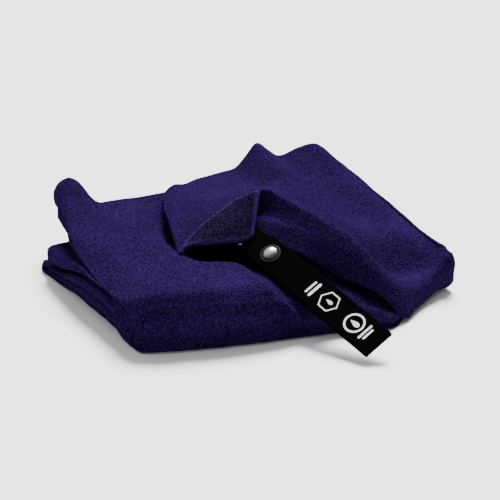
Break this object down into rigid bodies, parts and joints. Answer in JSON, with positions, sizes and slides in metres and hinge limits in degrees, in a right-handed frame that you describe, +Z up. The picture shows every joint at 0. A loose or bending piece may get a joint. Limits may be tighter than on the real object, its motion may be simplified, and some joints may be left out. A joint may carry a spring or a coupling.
{
  "type": "folded sports towel with snap hang loop",
  "caption": "Soft microfibre terry towel folded to a loose stack, with one corner turned over and a black webbing hang loop that opens with a press snap.",
  "frame": {"origin": "centre of the underside of the whole folded towel, its hang loop included", "axes": "+X to the right along the rounded front fold, +Y to the back, +Z up from the surface that the towel lies on"},
  "size_m": [0.265, 0.2906, 0.071],
  "materials": {
    "terry": "matte indigo terry pile",
    "terry_reverse": "matte indigo, coarser pile on the reverse",
    "thread": "matte indigo sewing thread",
    "thread_black": "matte black sewing thread",
    "webbing": "black satin-woven tape",
    "snap_metal": "polished nickel plate"
  },
  "bodies": {
    "towel": {"towel_stack": "terry", "raised_layer": "terry", "turned_corner": "terry_reverse", "hem_stitching": "thread", "strap_sewn_end": "webbing", "strap_stitching": "thread_black"},
    "strap": {"strap_lower_leg": "webbing", "snap_post": "snap_metal", "snap_stud": "snap_metal"},
    "snap_leg": {"strap_upper_leg": "webbing", "snap_cap": "snap_metal", "snap_socket": "snap_metal", "snap_spring": "snap_metal"}
  },
  "joints": [
    {"name": "strap_swing", "type": "hinge", "parent": "towel", "child": "strap", "pos_m": [-0.01463, -0.02176, 0.04568], "axis": [-0.8686, -0.1227, -0.4801], "range_deg": [0, 110]},
    {"name": "snap_open", "type": "hinge", "parent": "strap", "child": "snap_leg", "pos_m": [0.02026, -0.14222, 0.01333], "axis": [0.8686, 0.1227, 0.4801], "range_deg": [0, 150]}
  ]
}
